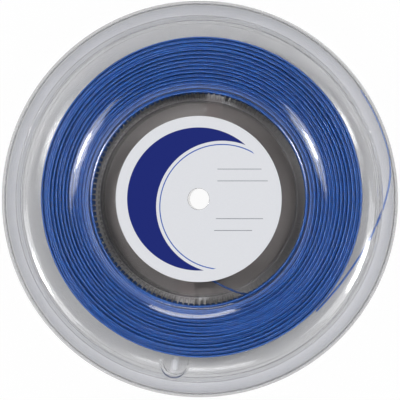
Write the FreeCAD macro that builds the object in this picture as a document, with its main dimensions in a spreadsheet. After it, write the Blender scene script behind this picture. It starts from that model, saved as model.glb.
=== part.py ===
import FreeCAD, Part
import math
import os

import Sketcher

# String reel: two clear moulded halves that meet at the middle of the hub, the string wound between
# their flanges, and a round paper label on the front face. The reel lies flat on its rear hub face:
# +Z is its axis, the origin is the centre of that face, and the front face looks up.

doc = FreeCAD.newDocument("StringReel")

# Driving dimensions, in millimetres and degrees

SIZES = [
    ("overall_width", 30.8, "across the reel, rear hub face to front hub face"),
    ("rim_diameter", 254.0, "outside diameter of both flanges"),
    ("wall", 1.2, "thickness of the moulded faces and flanges"),
    ("bore_diameter", 13.6, "hole for the spindle that the reel turns on"),
    ("sleeve_wall", 1.5, "thickness of the tube around the bore"),
    ("hub_diameter", 128.4, "outside of the hub wall, at the root of the fins"),
    ("hub_wall", 1.5, "thickness of the hub wall"),
    ("fin_count", 120, "fins around the hub wall"),
    ("fin_height", 3.6, "how far the fins stand out of the hub wall"),
    ("fin_root", 1.4, "thickness of a fin at the hub wall"),
    ("fin_tip", 0.9, "thickness of a fin at its tip"),
    ("parting_gap", 0.1, "how far fins and sleeve stop short of the parting plane"),
    ("spigot_length", 4.0, "how far the rear half reaches into the front half"),
    ("spigot_wall", 1.2, "thickness of that locating ring"),
    ("spigot_clearance", 0.1, "between the locating ring and the front hub wall"),
    ("shoulder_step", 3.9, "flat face outside the hub wall"),
    ("shoulder_round", 6.0, "radius of the shoulder, where the face turns down to the channel"),
    ("fall_sweep", 36.0, "radius of the long sweep from the shoulder into the channel"),
    ("channel_depth", 3.5, "depth of the channel below the hub face"),
    ("rise_sweep", 37.5, "radius of the long sweep from the channel up to the land"),
    ("land_round", 2.0, "radius of the land's inner edge"),
    ("land_depth", 1.8, "depth of the land below the hub face"),
    ("land_width", 1.25, "flat land between the rise and the bead"),
    ("bead_width", 2.25, "width of the raised bead"),
    ("bead_height", 0.6, "height of the raised bead"),
    ("bead_margin", 0.9, "flat land between the bead and the slope"),
    ("slope_run", 7.0, "width of the slope that closes in towards the rim"),
    ("slope_angle", 30.0, "fall of that slope, in degrees"),
    ("rim_round", 6.0, "outer radius of the rounded rim"),
    ("lip_gap", 3.0, "slit between the two lips that the string is pulled through"),
    ("notch_width", 17.0, "inside width of the U-shaped string notch"),
    ("notch_wall", 1.3, "thickness of the notch's own wall under the flange"),
    ("notch_bite", 1.0, "how far the notch cuts into the bead"),
    ("slot_width", 3.6, "slit in the floor of the notch"),
    ("slot_length", 9.0, "length of that slit"),
    ("slot_inset", 2.6, "from the outer end of the notch to the slit"),
    ("notch_turn", 261.5, "where both notches sit around the axis, in degrees"),
    ("window_turn", 293.8, "where the window in the hub wall sits, in degrees"),
    ("window_angle", 9.4, "width of that window around the hub, in degrees"),
    ("window_height", 3.2, "height of the window above the parting plane"),
    ("spigot_break", 14.0, "break in the locating ring behind the window, in degrees"),
    ("label_diameter", 105.6, "outside diameter of the label"),
    ("label_hole_margin", 0.2, "how far the label's hole clears the bore all round"),
    ("label_thickness", 0.2, "thickness of the label"),
    ("string_diameter", 1.25, "diameter of the string"),
    ("winding_clearance", 0.3, "between the winding and the moulding around it"),
    ("winding_past_channel", 2.8, "how far the winding is filled past the channel"),
    ("winding_shift_x", 1.2, "how far the winding's outside is off centre along X"),
    ("winding_shift_y", 1.0, "how far the winding's outside is off centre along Y"),
    ("winding_round", 3.0, "rounding of the winding's outer edges"),
    ("fall_turns", 6, "rows of turns that show under the fall to the channel"),
    ("channel_turns", 6, "rows of turns that show under the channel"),
    ("outer_turns", 3, "rows of turns on each half of the winding's outside"),
    ("turn_margin", 2.0, "from the ends of the fall and the channel to the nearest row"),
    ("turn_relief", 1.8, "how far the rows stand out of the winding's body"),
]

sheet = doc.addObject("Spreadsheet::Sheet", "Sizes")
for row, (alias, value, meaning) in enumerate(SIZES, start=1):
    sheet.set(f"A{row}", meaning)
    sheet.set(f"B{row}", str(value))
    sheet.setAlias(f"B{row}", alias)
doc.recompute()


class Size:
    """A size that carries its formula on the sheet beside its present value."""

    def __init__(self, formula, value):
        self.formula = formula
        self.value = value

    def __add__(self, other):
        other = as_size(other)
        return Size(f"({self.formula} + {other.formula})", self.value + other.value)

    def __sub__(self, other):
        other = as_size(other)
        return Size(f"({self.formula} - {other.formula})", self.value - other.value)

    def __mul__(self, other):
        other = as_size(other)
        return Size(f"({self.formula} * {other.formula})", self.value * other.value)

    def __truediv__(self, other):
        other = as_size(other)
        return Size(f"({self.formula} / {other.formula})", self.value / other.value)


def as_size(number):
    return number if isinstance(number, Size) else Size(repr(number), number)


def size(alias):
    return Size(f"Sizes.{alias}", float(sheet.get(alias)))


def sine(angle):
    return Size(f"sin({angle.formula})", math.sin(math.radians(angle.value)))


def cosine(angle):
    return Size(f"cos({angle.formula})", math.cos(math.radians(angle.value)))


def root(number):
    return Size(f"sqrt({number.formula})", math.sqrt(number.value))


def bend_run(drop, rounds):
    """The width of an S of two arcs with that drop, whose two radii have that sum."""
    return root(drop * (rounds * 2 - drop))


# Radii and heights that several pieces share. Heights count from the parting plane.

half_width = size("overall_width") / 2
rim_radius = size("rim_diameter") / 2
wall = size("wall")
bore_radius = size("bore_diameter") / 2
hub_radius = size("hub_diameter") / 2
hub_inside = hub_radius - size("hub_wall")
fin_tip_radius = hub_radius + size("fin_height")

shoulder_radius = hub_radius + size("shoulder_step")
fall_rounds = (size("shoulder_round"), size("fall_sweep"))
channel_inner = shoulder_radius + bend_run(size("channel_depth"), fall_rounds[0] + fall_rounds[1])
slope_sine = sine(size("slope_angle"))
slope_cosine = cosine(size("slope_angle"))
slope_end = rim_radius - size("rim_round") * (as_size(1) - slope_sine)
slope_start = slope_end - size("slope_run")
bead_outer = slope_start - size("bead_margin")
bead_inner = bead_outer - size("bead_width")
land_inner = bead_inner - size("land_width")
rise_rounds = (size("rise_sweep"), size("land_round"))
rise_drop = size("channel_depth") - size("land_depth")
channel_outer = land_inner - bend_run(rise_drop, rise_rounds[0] + rise_rounds[1])

channel_height = half_width - size("channel_depth")
land_height = half_width - size("land_depth")
bead_top = land_height + size("bead_height")
slope_end_height = land_height - size("slope_run") * slope_sine / slope_cosine
rim_centre = (rim_radius - size("rim_round"), slope_end_height - size("rim_round") * slope_cosine)
lip_height = size("lip_gap") / 2
notch_outer = bead_inner + size("notch_bite")
none = as_size(0)


def origin_plane(body, role):
    return next(item for item in body.Origin.OriginFeatures if item.Role == role)


def new_sketch(body, name, role, height=None, turn=None, aside=None):
    """A sketch on one of the body's own planes. If asked, a level one is lifted along the axis, and an
    upright one is turned about it or stands on an axis of its own, aside of the body's."""
    sketch = body.newObject("Sketcher::SketchObject", name)
    sketch.AttachmentSupport = (origin_plane(body, role), [""])
    sketch.MapMode = "FlatFace"
    if height:
        lift = FreeCAD.Vector(0, 0, height.value)
        sketch.AttachmentOffset = FreeCAD.Placement(lift, FreeCAD.Rotation())
        sketch.setExpression(".AttachmentOffset.Base.z", height.formula)
    if turn:
        upright = FreeCAD.Vector(0, 1, 0)
        spin = FreeCAD.Rotation(upright, turn.value)
        sketch.AttachmentOffset = FreeCAD.Placement(FreeCAD.Vector(), spin)
        sketch.setExpression(".AttachmentOffset.Rotation.Angle", turn.formula)
    if aside:
        across, back = aside[0], none - aside[1]
        step = FreeCAD.Vector(across.value, 0, back.value)
        sketch.AttachmentOffset = FreeCAD.Placement(step, FreeCAD.Rotation())
        sketch.setExpression(".AttachmentOffset.Base.x", across.formula)
        sketch.setExpression(".AttachmentOffset.Base.z", back.formula)
    return sketch


def bind(sketch, constraint, formula):
    index = sketch.addConstraint(constraint)
    sketch.setExpression(f"Constraints[{index}]", formula)


def place_point(sketch, edge, end, x, y):
    """Ties one end of an edge to the sketch's origin by its two coordinates."""
    for kind, axis, length in (("DistanceX", -2, x), ("DistanceY", -1, y)):
        if length.value == 0:
            sketch.addConstraint(Sketcher.Constraint("PointOnObject", edge, end, axis))
        elif length.value > 0:
            bind(sketch, Sketcher.Constraint(kind, -1, 1, edge, end, length.value), length.formula)
        else:
            back = as_size(0) - length
            bind(sketch, Sketcher.Constraint(kind, edge, end, -1, 1, back.value), back.formula)


def draw_outline(sketch, corners):
    """Draws a closed outline. Each corner is (x, y) before a straight edge, or (x, y, centre, radius)
    before an arc that runs to the next corner round that centre."""
    first_edge = len(sketch.Geometry)
    ends = []
    for number, corner in enumerate(corners):
        following = corners[(number + 1) % len(corners)]
        here = FreeCAD.Vector(corner[0].value, corner[1].value, 0)
        there = FreeCAD.Vector(following[0].value, following[1].value, 0)
        if len(corner) == 2:
            sketch.addGeometry(Part.LineSegment(here, there))
            ends.append((1, 2))
            continue
        centre = FreeCAD.Vector(corner[2][0].value, corner[2][1].value, 0)
        start, stop = here - centre, there - centre
        leftward = start.cross(stop).z > 0
        if not leftward:
            start, stop = stop, start
        circle = Part.Circle(centre, FreeCAD.Vector(0, 0, 1), corner[3].value)
        angles = [math.atan2(arm.y, arm.x) for arm in (start, stop)]
        sketch.addGeometry(Part.ArcOfCircle(circle, *angles))
        ends.append((1, 2) if leftward else (2, 1))
    for number, corner in enumerate(corners):
        following = (number + 1) % len(corners)
        edge = first_edge + number
        joint = (edge, ends[number][1], first_edge + following, ends[following][0])
        sketch.addConstraint(Sketcher.Constraint("Coincident", *joint))
        place_point(sketch, edge, ends[number][0], as_size(corner[0]), as_size(corner[1]))
        if len(corner) == 4:
            radius = corner[3]
            bind(sketch, Sketcher.Constraint("Radius", edge, radius.value), radius.formula)


def draw_circle(sketch, radius, x=None, y=None):
    """A circle on the sketch's origin, or at the given place."""
    x = x or as_size(0)
    y = y or as_size(0)
    centre = FreeCAD.Vector(x.value, y.value, 0)
    edge = sketch.addGeometry(Part.Circle(centre, FreeCAD.Vector(0, 0, 1), radius.value))
    place_point(sketch, edge, 3, x, y)
    bind(sketch, Sketcher.Constraint("Radius", edge, radius.value), radius.formula)


def s_bend(inner, outer, start_height, end_height, rounds, offset):
    """Two arcs that lead a surface smoothly from one height to another, seen at the given depth below
    that surface. Returns the corners from the inner radius outwards, without the last one."""
    falls = start_height.value > end_height.value
    drop = start_height - end_height if falls else end_height - start_height
    near, far = rounds
    across = (outer - inner) / (near + far)
    down = drop / (near + far)
    sink = offset * (as_size(1) - down)
    if falls:
        near_centre, far_centre = start_height - near, end_height + far
        middle_height = start_height - near * down - sink
        near_round, far_round = near - offset, far + offset
    else:
        near_centre, far_centre = start_height + near, end_height - far
        middle_height = start_height + near * down - sink
        near_round, far_round = near + offset, far - offset
    return [
        (inner, start_height - offset, (inner, near_centre), near_round),
        (inner + near_round * across, middle_height, (outer, far_centre), far_round),
    ]


def backwards(corners, last):
    """The same edges in the other direction: from the last corner back to the first."""
    turned = []
    for number in range(len(corners) - 1, -1, -1):
        following = corners[number + 1] if number + 1 < len(corners) else last
        turned.append((following[0], following[1], *corners[number][2:]))
    return turned


def revolve(body, name, sketch, kind="PartDesign::Revolution", angle=None):
    """Turns a sketch round the reel's axis, all the way or by an angle to both sides."""
    feature = body.newObject(kind, name)
    feature.Profile = sketch
    feature.ReferenceAxis = (sketch, ["V_Axis"])
    feature.Angle = 360
    if angle:
        feature.Midplane = True
        feature.setExpression("Angle", angle.formula)
    return feature


def half_outline():
    """Section through one moulded half, from the bore to the rim and back along the inside."""
    face_inside = half_width - wall
    gap = size("parting_gap")
    sleeve_radius = bore_radius + size("sleeve_wall")
    inner_rim = rim_radius - wall
    inner_round = size("rim_round") - wall
    lip_round = wall / 2
    lip_start = lip_height + lip_round
    slope_start_inside = slope_start - wall * slope_sine / (as_size(1) + slope_cosine)
    outside = [
        (bore_radius, gap),
        (bore_radius, half_width),
        *s_bend(shoulder_radius, channel_inner, half_width, channel_height, fall_rounds, none),
        (channel_inner, channel_height),
        *s_bend(channel_outer, land_inner, channel_height, land_height, rise_rounds, none),
        (land_inner, land_height),
        (bead_inner, land_height),
        (bead_inner, bead_top),
        (bead_outer, bead_top),
        (bead_outer, land_height),
        (slope_start, land_height),
        (slope_end, slope_end_height, rim_centre, size("rim_round")),
        (rim_radius, rim_centre[1]),
    ]
    lip = [
        (rim_radius, lip_start, (rim_radius - lip_round, lip_start), lip_round),
        (rim_radius - lip_round, lip_height, (rim_radius - lip_round, lip_start), lip_round),
        (inner_rim, lip_start),
    ]
    rise = s_bend(channel_outer, land_inner, channel_height, land_height, rise_rounds, wall)
    fall = s_bend(shoulder_radius, channel_inner, half_width, channel_height, fall_rounds, wall)
    inside = [
        (inner_rim, rim_centre[1], rim_centre, inner_round),
        (rim_centre[0] + inner_round * slope_sine, rim_centre[1] + inner_round * slope_cosine),
        (slope_start_inside, land_height - wall),
        *backwards(rise, (land_inner, land_height - wall)),
        (channel_outer, channel_height - wall),
        *backwards(fall, (channel_inner, channel_height - wall)),
        (shoulder_radius, face_inside),
        (hub_radius, face_inside),
        (hub_radius, none),
        (hub_inside, none),
        (hub_inside, face_inside),
        (sleeve_radius, face_inside),
        (sleeve_radius, gap),
    ]
    return outside + lip + inside


def add_fins(body):
    """One tapered fin on the hub wall, then the whole ring of them."""
    gap = size("parting_gap")
    root = hub_radius - size("hub_wall") / 2
    half_root = size("fin_root") / 2
    half_tip = size("fin_tip") / 2
    sketch = new_sketch(body, f"{body.Name}_fin_outline", "XY_Plane", height=gap)
    draw_outline(sketch, [
        (root, none - half_root),
        (fin_tip_radius, none - half_tip),
        (fin_tip_radius, half_tip),
        (root, half_root),
    ])
    fin = body.newObject("PartDesign::Pad", f"{body.Name}_fin")
    fin.Profile = sketch
    fin.setExpression("Length", (half_width - wall / 2 - gap).formula)
    doc.recompute()
    ring = body.newObject("PartDesign::PolarPattern", f"{body.Name}_fins")
    ring.Originals = [fin]
    ring.Axis = (origin_plane(body, "Z_Axis"), [""])
    ring.Angle = 360
    ring.setExpression("Occurrences", "Sizes.fin_count")
    body.Tip = ring
    doc.recompute()


def slot_outline(start, end, half):
    """A round-ended slot that points outwards, from one end's centre to the other's."""
    return [
        (start, none - half),
        (end, none - half, (end, none), half),
        (end + half, none, (end, none), half),
        (end, half),
        (start, half, (start, none), half),
        (start - half, none, (start, none), half),
    ]


def add_string_notch(body):
    """A U-shaped recess in the rise and the bead, with a slit in its floor for the string's end."""
    half = size("notch_width") / 2
    start = channel_outer
    end = notch_outer - half
    floor_inside = channel_height - wall
    block_top = land_height - wall / 2
    half_block = half + size("notch_wall")
    outline = new_sketch(body, f"{body.Name}_notch_block_outline", "XY_Plane", height=floor_inside)
    draw_outline(outline, slot_outline(start, end, half_block))
    block = body.newObject("PartDesign::Pad", f"{body.Name}_notch_block")
    block.Profile = outline
    block.setExpression("Length", (block_top - floor_inside).formula)
    doc.recompute()

    above = half_width + wall
    trim = new_sketch(body, f"{body.Name}_notch_trim_outline", "XZ_Plane")
    draw_outline(trim, [
        (channel_inner, channel_height),
        *s_bend(channel_outer, land_inner, channel_height, land_height, rise_rounds, none),
        (land_inner, land_height),
        (land_inner, above),
        (channel_inner, above),
    ])
    trim_angle = half_block * 3 / channel_outer * (180 / math.pi)
    revolve(body, f"{body.Name}_notch_trim", trim, "PartDesign::Groove", angle=trim_angle)
    doc.recompute()

    outline = new_sketch(body, f"{body.Name}_notch_outline", "XY_Plane", height=channel_height)
    draw_outline(outline, slot_outline(start, end, half))
    recess = body.newObject("PartDesign::Pocket", f"{body.Name}_notch")
    recess.Profile = outline
    recess.Type = 1
    recess.Reversed = True
    doc.recompute()

    half_slot = size("slot_width") / 2
    slot_end = notch_outer - size("slot_inset") - half_slot
    slot_start = slot_end - size("slot_length") + size("slot_width")
    outline = new_sketch(body, f"{body.Name}_slot_outline", "XY_Plane")
    draw_outline(outline, slot_outline(slot_start, slot_end, half_slot))
    slit = body.newObject("PartDesign::Pocket", f"{body.Name}_slot")
    slit.Profile = outline
    slit.Type = 1
    slit.Reversed = True
    doc.recompute()


def add_window(body):
    """An opening in the hub wall at the parting plane, where the string's inner end goes in."""
    turn = size("window_turn") - size("notch_turn")
    outline = new_sketch(body, "window_outline", "XZ_Plane", turn=turn)
    inside = hub_inside - size("hub_wall")
    outside = fin_tip_radius + size("hub_wall")
    below = none - size("window_height")
    draw_outline(outline, [
        (inside, below),
        (outside, below),
        (outside, size("window_height")),
        (inside, size("window_height")),
    ])
    revolve(body, "window", outline, "PartDesign::Groove", size("window_angle"))
    doc.recompute()


def add_spigot(body):
    """The rear half's locating ring, which reaches into the front half's hub wall. It is broken behind
    the window, so that the string can pass."""
    turn = size("notch_turn") - size("window_turn") + 180
    sketch = new_sketch(body, "spigot_outline", "XZ_Plane", turn=turn)
    outside = hub_inside - size("spigot_clearance")
    inside = outside - size("spigot_wall")
    wall_middle = hub_radius - size("hub_wall") / 2
    draw_outline(sketch, [
        (inside, none - size("spigot_length")),
        (outside, none - size("spigot_length")),
        (outside, none),
        (wall_middle, none),
        (wall_middle, size("spigot_length")),
        (inside, size("spigot_length")),
    ])
    revolve(body, "spigot", sketch, angle=as_size(360) - size("spigot_break"))
    doc.recompute()


def moulded_half(name):
    """The shape that both halves of the reel share, standing on the parting plane."""
    body = doc.addObject("PartDesign::Body", name)
    body.Label = name
    section = new_sketch(body, f"{name}_section", "XZ_Plane")
    draw_outline(section, half_outline())
    revolve(body, f"{name}_shell", section)
    doc.recompute()
    add_string_notch(body)
    add_fins(body)
    return body


def front_half():
    body = moulded_half("front_half")
    add_window(body)
    turn = FreeCAD.Rotation(FreeCAD.Vector(0, 0, 1), size("notch_turn").value)
    body.Placement = FreeCAD.Placement(FreeCAD.Vector(0, 0, half_width.value), turn)
    body.setExpression(".Placement.Base.z", half_width.formula)


def rear_half():
    body = moulded_half("rear_half")
    add_spigot(body)
    turned_over = FreeCAD.Rotation(FreeCAD.Vector(1, 0, 0), 180)
    turn = FreeCAD.Rotation(FreeCAD.Vector(0, 0, 1), size("notch_turn").value)
    body.Placement = FreeCAD.Placement(FreeCAD.Vector(0, 0, half_width.value), turn * turned_over)
    body.setExpression(".Placement.Base.z", half_width.formula)


def front_label():
    """The round paper label, stuck on the front face."""
    body = doc.addObject("PartDesign::Body", "front_label")
    body.Label = "front_label"
    sketch = new_sketch(body, "label_outline", "XY_Plane")
    draw_circle(sketch, size("label_diameter") / 2)
    draw_circle(sketch, bore_radius + size("label_hole_margin"))
    disc = body.newObject("PartDesign::Pad", "label_disc")
    disc.Profile = sketch
    disc.setExpression("Length", "Sizes.label_thickness")
    body.setExpression(".Placement.Base.z", "Sizes.overall_width")


# The string lies between the flanges as one winding. Its solid has the outer shape of all its turns:
# a plain body, and on it the turns that show from outside.

strand_radius = size("string_diameter") / 2
winding_inner = fin_tip_radius + size("winding_clearance")
winding_outer = channel_outer + size("winding_past_channel")
winding_depth = wall + size("winding_clearance")
winding_half_width = channel_height - winding_depth
winding_axis = (size("winding_shift_x"), size("winding_shift_y"))


def spread(first, last, count):
    """Evenly spaced places, both ends included."""
    steps = int(count.value) - 1
    return [first + (last - first) / (count - 1) * number for number in range(steps + 1)]


def winding_band(body):
    """The ring that fills the channel between the flanges. Its outside is round-edged and a little off
    centre."""
    rings = new_sketch(body, "winding_rings", "XY_Plane")
    draw_circle(rings, winding_inner)
    draw_circle(rings, winding_outer - size("turn_relief"), *winding_axis)
    band = body.newObject("PartDesign::Pad", "winding_band")
    band.Profile = rings
    band.Midplane = True
    band.setExpression("Length", ((winding_half_width - size("turn_relief")) * 2).formula)
    doc.recompute()

    girth = 2 * math.pi * (winding_outer - size("turn_relief")).value
    outer_edges = [
        f"Edge{number}"
        for number, edge in enumerate(band.Shape.Edges, start=1)
        if abs(edge.Length - girth) < 0.01
    ]
    rounding = body.newObject("PartDesign::Fillet", "winding_rounding")
    rounding.Base = (band, outer_edges)
    rounding.setExpression("Radius", (size("winding_round") - size("turn_relief")).formula)
    doc.recompute()


def winding_flare(body):
    """The part of the winding that widens against the hub, under the fall of the flange."""
    depth = winding_depth + size("turn_relief")
    outline = new_sketch(body, "winding_flare_outline", "XZ_Plane")
    draw_outline(outline, [
        (winding_inner, none),
        (winding_inner, half_width - depth),
        *s_bend(shoulder_radius, channel_inner, half_width, channel_height, fall_rounds, depth),
        (channel_inner, channel_height - depth),
        (channel_inner, none),
    ])
    return revolve(body, "winding_flare", outline)


def draw_row(sketch, radius, height, lean):
    """Section of one row of turns, as wide as the string, with its round outside drawn as three flats.
    Its outermost point is at the given place, and it leans from the axis by that angle."""
    along, out = sine(as_size(lean)), cosine(as_size(lean))
    half_flat = strand_radius / 2
    foot = size("turn_relief") + half_flat
    corners = []
    for aside, depth in (
        (none - strand_radius, foot),
        (none - strand_radius, strand_radius),
        (none - half_flat, none),
        (half_flat, none),
        (strand_radius, strand_radius),
        (strand_radius, foot),
    ):
        x = radius + aside * out - depth * along
        y = height - aside * along - depth * out
        corners.append((x, y))
    draw_outline(sketch, corners)


def turns_under_fall(body):
    """The rows of turns that show under the fall of the flange. They follow its long sweep."""
    first = shoulder_radius + size("turn_margin")
    last = channel_inner - size("turn_margin")
    reach = fall_rounds[1] + winding_depth
    sketch = new_sketch(body, "fall_row_sections", "XZ_Plane")
    for radius in spread(first, last, size("fall_turns")):
        back = channel_inner - radius + strand_radius
        height = channel_height + fall_rounds[1] - root(reach * reach - back * back)
        draw_row(sketch, radius, height, 0)
    return revolve(body, "fall_rows", sketch)


def turns_under_channel(body):
    """The rows of turns under the channel, at the winding's round edge and on its outside."""
    edge_radius = winding_outer - size("winding_round")
    edge_height = winding_half_width - size("winding_round")
    edge_step = size("winding_round") * cosine(as_size(45))
    first = channel_inner + size("turn_margin")
    pitch = edge_height / (size("outer_turns") - 0.5)
    sketch = new_sketch(body, "channel_row_sections", "XZ_Plane", aside=winding_axis)
    for radius in spread(first, edge_radius, size("channel_turns")):
        draw_row(sketch, radius, winding_half_width, 0)
    draw_row(sketch, edge_radius + edge_step, edge_height + edge_step, 45)
    for height in spread(pitch / 2, edge_height, size("outer_turns")):
        draw_row(sketch, winding_outer, height, 90)
    return revolve(body, "channel_rows", sketch)


def string_winding():
    """One closed ring with the outside of all the turns."""
    body = doc.addObject("PartDesign::Body", "string_winding")
    body.Label = "string_winding"
    winding_band(body)
    upper = []
    for add_piece in (winding_flare, turns_under_fall, turns_under_channel):
        upper.append(add_piece(body))
        doc.recompute()
    lower = body.newObject("PartDesign::Mirrored", "winding_lower_side")
    lower.Originals = upper
    lower.MirrorPlane = (origin_plane(body, "XY_Plane"), [""])
    body.Tip = lower
    body.setExpression(".Placement.Base.z", half_width.formula)
    doc.recompute()


# The two free ends of the string. Their routes are points in the reel's frame, in millimetres.

TAIL_ROUTE = [
    (74.9, -71.9, 19.6),
    (86.0, -60.0, 19.5),
    (96.2, -46.4, 19.3),
    (105.4, -32.6, 19.2),
    (113.2, -17.4, 19.0),
    (118.8, -1.6, 18.8),
    (122.3, 14.2, 18.7),
    (121.4, 29.8, 18.6),
    (116.0, 46.3, 18.6),
    (110.2, 58.6, 18.7),
    (103.3, 69.6, 18.8),
]
START_ROUTE = [
    (32.8, -60.6, 17.0),
    (28.4, -60.9, 17.0),
    (23.6, -59.5, 17.0),
    (16.4, -56.6, 17.2),
    (10.2, -53.2, 17.7),
    (3.4, -50.2, 18.6),
    (-3.4, -48.4, 19.8),
    (-10.4, -47.6, 21.0),
]


def cord(name, route):
    """A length of string: straight runs joined by tangent arcs, each as large as its two runs allow."""
    points = [FreeCAD.Vector(*point) for point in route]
    edges = []
    radii = []
    reached = points[0]
    for before, corner, after in zip(points, points[1:], points[2:]):
        inward, outward = before - corner, after - corner
        turn = math.pi - inward.getAngle(outward)
        cut = 0.45 * min(inward.Length, outward.Length)
        radius = cut / math.tan(turn / 2)
        inward.normalize()
        outward.normalize()
        first, last = corner + inward * cut, corner + outward * cut
        bisector = (inward + outward).normalize()
        centre = corner + bisector * math.hypot(cut, radius)
        middle = centre - bisector * radius
        edges.append(Part.LineSegment(reached, first).toShape())
        edges.append(Part.Arc(first, middle, last).toShape())
        radii.append(radius)
        reached = last
    edges.append(Part.LineSegment(reached, points[-1]).toShape())
    path = Part.Wire(edges)
    thickness = size("string_diameter").value
    end_face = Part.Circle(points[0], points[1] - points[0], thickness / 2)
    tube = path.makePipeShell([Part.Wire(end_face.toShape())], True, False)
    feature = doc.addObject("Part::Feature", name)
    feature.Label = name
    feature.Shape = tube
    expected = math.pi * thickness * thickness / 4 * path.Length
    print(f"{name}: length {path.Length:.1f}, volume {tube.Volume:.2f} of {expected:.2f}")
    print(f"{name}: radii " + ", ".join(f"{radius:.1f}" for radius in radii))


front_half()
rear_half()
front_label()
string_winding()
cord("string_tail", TAIL_ROUTE)
cord("string_start", START_ROUTE)
doc.recompute()

# Every object has to be sound before a file is written

for item in doc.Objects:
    if "Invalid" in item.State or "Error" in item.State:
        raise RuntimeError(f"{item.Name} failed: {item.State}")

SUB_PARTS = ["front_half", "rear_half", "front_label", "string_winding", "string_tail", "string_start"]

pieces = [doc.getObject(name) for name in SUB_PARTS]
for piece in pieces:
    if piece.Shape.isNull() or not piece.Shape.isValid():
        raise RuntimeError(f"{piece.Label} has no sound shape")

os.makedirs("parts", exist_ok=True)
for piece in pieces:
    piece.Shape.exportStep(f"parts/{piece.Label}.step")
    box = piece.Shape.BoundBox
    print(
        f"{piece.Label}: {len(piece.Shape.Solids)} solid, {piece.Shape.Volume / 1000:.2f} cm3, "
        f"x {box.XMin:.2f} to {box.XMax:.2f}, y {box.YMin:.2f} to {box.YMax:.2f}, "
        f"z {box.ZMin:.2f} to {box.ZMax:.2f}"
    )
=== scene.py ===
# %% [markdown]
# # A reel of racket string
#
# The object is a clear moulded reel with some two hundred metres of blue string on it, seen straight
# from the front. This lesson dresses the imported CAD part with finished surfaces: two clear halves,
# the string turn by turn, its two loose ends, and a printed paper label.
#
# The frame comes first. It holds the CAD nodes in metres, and every new piece is made in the same
# place, so that nothing has to be fitted by eye.

# %% Load the frame
import math

import bmesh
import bpy
import numpy as np
from mathutils import Matrix, Vector


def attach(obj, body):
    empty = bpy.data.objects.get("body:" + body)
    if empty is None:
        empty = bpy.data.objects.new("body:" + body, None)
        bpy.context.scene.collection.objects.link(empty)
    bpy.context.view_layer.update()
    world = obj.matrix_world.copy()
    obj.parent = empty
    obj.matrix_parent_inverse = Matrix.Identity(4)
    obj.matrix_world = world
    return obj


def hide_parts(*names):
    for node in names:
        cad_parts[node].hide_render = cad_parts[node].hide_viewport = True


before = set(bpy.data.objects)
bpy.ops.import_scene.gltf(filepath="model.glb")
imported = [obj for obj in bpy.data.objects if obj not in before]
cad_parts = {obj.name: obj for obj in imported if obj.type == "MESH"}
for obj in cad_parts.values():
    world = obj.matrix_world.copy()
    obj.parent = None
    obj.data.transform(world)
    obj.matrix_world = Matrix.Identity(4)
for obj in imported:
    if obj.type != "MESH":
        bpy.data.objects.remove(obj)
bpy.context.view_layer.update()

# %% [markdown]
# ## Sizes
#
# A moulder's drawing is in millimetres, so the shapes here are too, and each mesh is scaled to metres
# once, when it is finished. The reel lies on its rear face. Its two halves meet in the parting plane,
# half a reel's width above the floor, and heights count from that plane.

# %% Sizes of hub and wall, in millimetres
MM = 0.001
HALF_WIDTH = 15.4
PARTING_GAP = 0.05
WALL = 1.2
HUB_WALL = 1.5

BORE_RADIUS = 6.8
SLEEVE_RADIUS = BORE_RADIUS + HUB_WALL
HUB_RADIUS = 64.2
HUB_INSIDE = HUB_RADIUS - HUB_WALL
FIN_COUNT = 120
FIN_DEPTH = 3.6
FIN_TIP_RADIUS = HUB_RADIUS + FIN_DEPTH
FIN_TO_SHOULDER = 0.3
SHOULDER_RADIUS = FIN_TIP_RADIUS + FIN_TO_SHOULDER

NOTCH_TURN = math.radians(261.5)
WINDOW_TURN = math.radians(293.8)
STRING_DIAMETER = 1.25

print(f"The hub is {2 * HUB_RADIUS:.1f} mm across, and {2 * FIN_TIP_RADIUS:.1f} mm over its fins")

# %% [markdown]
# The flange's widths are worked out from the rim inwards. Every bend of it is an S of two arcs, so its
# width follows from its drop and the two radii.

# %% Sizes of the flange, in millimetres
CHANNEL_DEPTH = 3.5
LAND_DEPTH = 1.8
FALL_ROUNDS = (6.0, 36.0)
RISE_ROUNDS = (37.5, 2.0)
RIM_RADIUS = 127.0
RIM_ROUND = 6.0
LIP_HEIGHT = 1.5
SLOPE_ANGLE = math.radians(30)
SLOPE_WIDTH = 7.0
LEDGE_WIDTH = 0.9
BEAD_WIDTH = 2.25
BEAD_RISE = 0.6
LAND_WIDTH = 1.25


def bend_run(drop, rounds):
    """The width of an S of two arcs with that drop and those two radii."""
    return math.sqrt(drop * (2 * sum(rounds) - drop))


CHANNEL_INNER = SHOULDER_RADIUS + bend_run(CHANNEL_DEPTH, FALL_ROUNDS)
SLOPE_END = RIM_RADIUS - RIM_ROUND * (1 - math.sin(SLOPE_ANGLE))
SLOPE_START = SLOPE_END - SLOPE_WIDTH
BEAD_OUTER = SLOPE_START - LEDGE_WIDTH
BEAD_INNER = BEAD_OUTER - BEAD_WIDTH
LAND_INNER = BEAD_INNER - LAND_WIDTH
CHANNEL_OUTER = LAND_INNER - bend_run(CHANNEL_DEPTH - LAND_DEPTH, RISE_ROUNDS)

CHANNEL_HEIGHT = HALF_WIDTH - CHANNEL_DEPTH
LAND_HEIGHT = HALF_WIDTH - LAND_DEPTH
BEAD_TOP = LAND_HEIGHT + BEAD_RISE
SLOPE_END_HEIGHT = LAND_HEIGHT - SLOPE_WIDTH * math.tan(SLOPE_ANGLE)
RIM_CENTRE = (RIM_RADIUS - RIM_ROUND, SLOPE_END_HEIGHT - RIM_ROUND * math.cos(SLOPE_ANGLE))

print(f"The channel lies between radii {CHANNEL_INNER:.1f} and {CHANNEL_OUTER:.1f} mm")

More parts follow.
